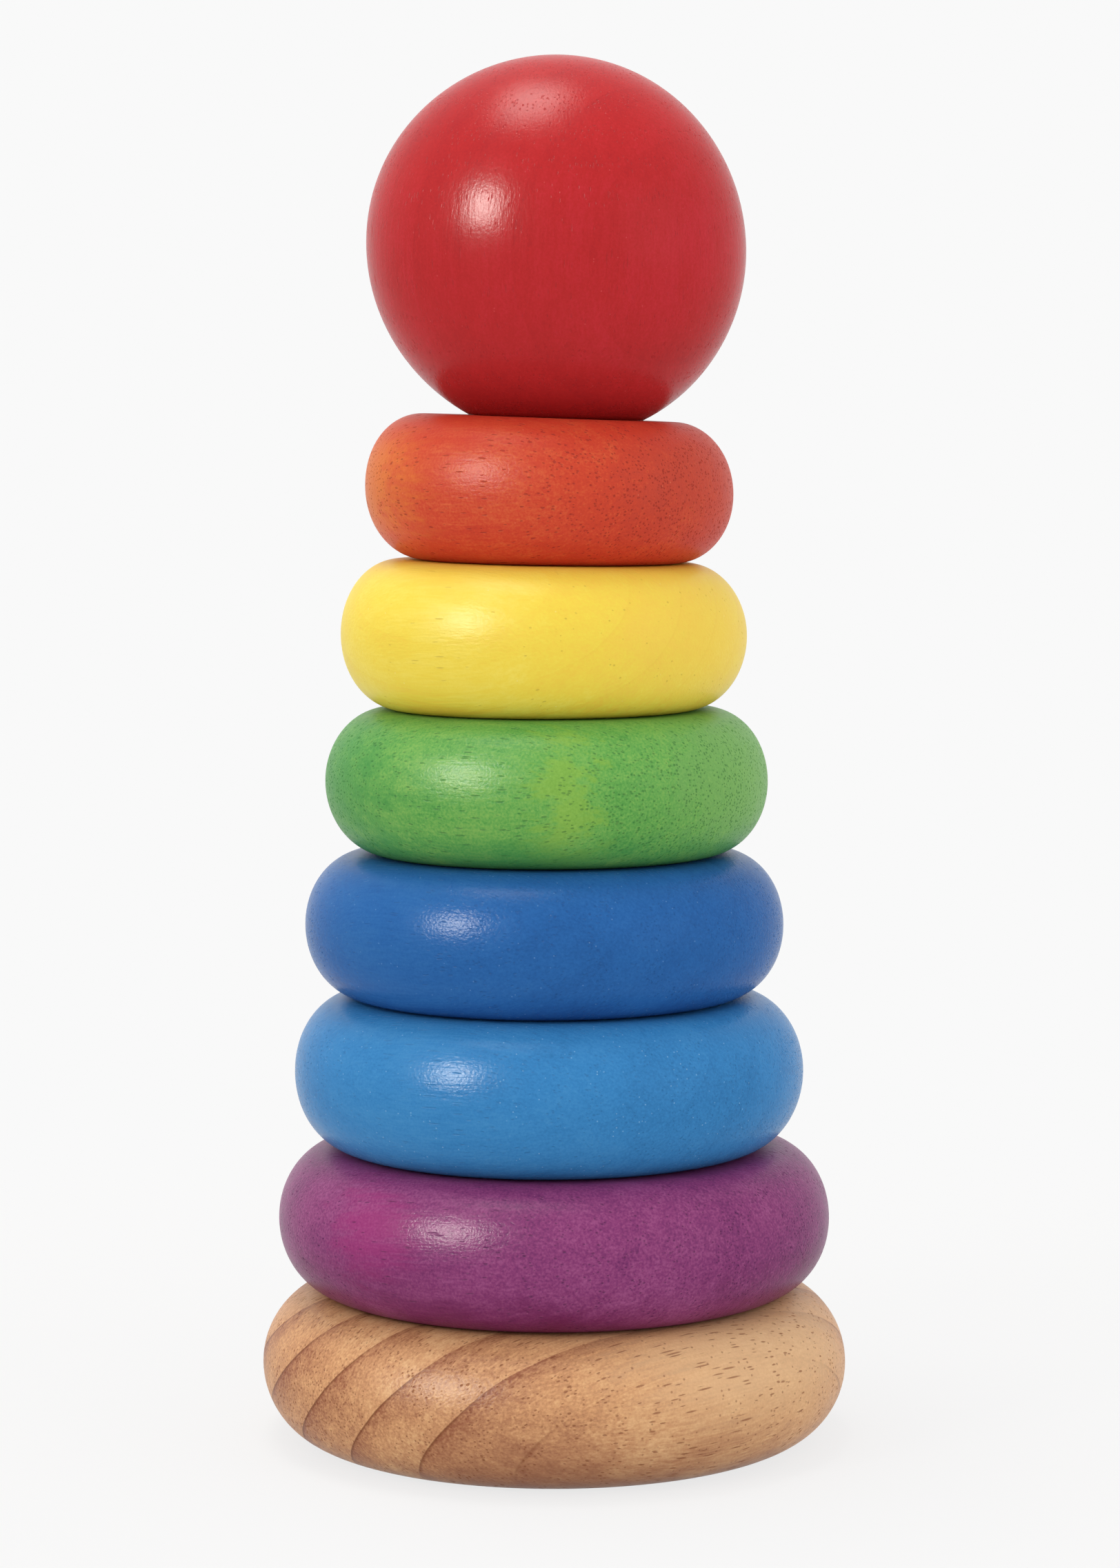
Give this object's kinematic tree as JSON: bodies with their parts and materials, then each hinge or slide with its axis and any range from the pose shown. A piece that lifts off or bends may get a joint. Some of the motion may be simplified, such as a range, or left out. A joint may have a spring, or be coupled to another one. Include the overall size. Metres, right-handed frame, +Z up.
{
  "type": "ring stacker",
  "caption": "Wooden stacking toy: a round base with a central peg, loose coloured rings that shrink towards the top, and a ball that caps the peg.",
  "frame": {"origin": "centre of the base's flat underside, on the peg's axis", "axes": "+Z up along the peg, -Y towards the picture's viewer, +X to the viewer's right"},
  "size_m": [0.09, 0.09, 0.2113],
  "materials": {
    "bare_wood": "natural wood, clear satin lacquer",
    "peg_wood": "natural wood dowel, sanded",
    "purple_stain": "purple stain under satin lacquer",
    "sky_blue_stain": "sky blue stain under satin lacquer",
    "dark_blue_stain": "dark blue stain under satin lacquer",
    "green_stain": "green stain under satin lacquer",
    "yellow_stain": "yellow stain under satin lacquer",
    "orange_stain": "orange stain under satin lacquer",
    "red_stain": "red stain under satin lacquer"
  },
  "bodies": {
    "base": {"base": "bare_wood", "peg": "peg_wood"},
    "purple_ring": {"purple_ring": "purple_stain"},
    "sky_blue_ring": {"sky_blue_ring": "sky_blue_stain"},
    "dark_blue_ring": {"dark_blue_ring": "dark_blue_stain"},
    "green_ring": {"green_ring": "green_stain"},
    "yellow_ring": {"yellow_ring": "yellow_stain"},
    "orange_ring": {"orange_ring": "orange_stain"},
    "red_ball": {"red_ball": "red_stain"}
  },
  "joints": [
    {"name": "purple_ring_lift", "type": "slide", "parent": "base", "child": "purple_ring", "axis": [0, 0, 1], "range_m": [0, 0.162]},
    {"name": "sky_blue_ring_lift", "type": "slide", "parent": "purple_ring", "child": "sky_blue_ring", "axis": [0, 0, 1], "range_m": [0, 0.14]},
    {"name": "dark_blue_ring_lift", "type": "slide", "parent": "sky_blue_ring", "child": "dark_blue_ring", "axis": [0, 0, 1], "range_m": [0, 0.117]},
    {"name": "green_ring_lift", "type": "slide", "parent": "dark_blue_ring", "child": "green_ring", "axis": [0, 0, 1], "range_m": [0, 0.095]},
    {"name": "yellow_ring_lift", "type": "slide", "parent": "green_ring", "child": "yellow_ring", "axis": [0, 0, 1], "range_m": [0, 0.073]},
    {"name": "orange_ring_lift", "type": "slide", "parent": "yellow_ring", "child": "orange_ring", "axis": [0, 0, 1], "range_m": [0, 0.05]},
    {"name": "red_ball_lift", "type": "slide", "parent": "orange_ring", "child": "red_ball", "axis": [0, 0, 1], "range_m": [0, 0.028]}
  ]
}
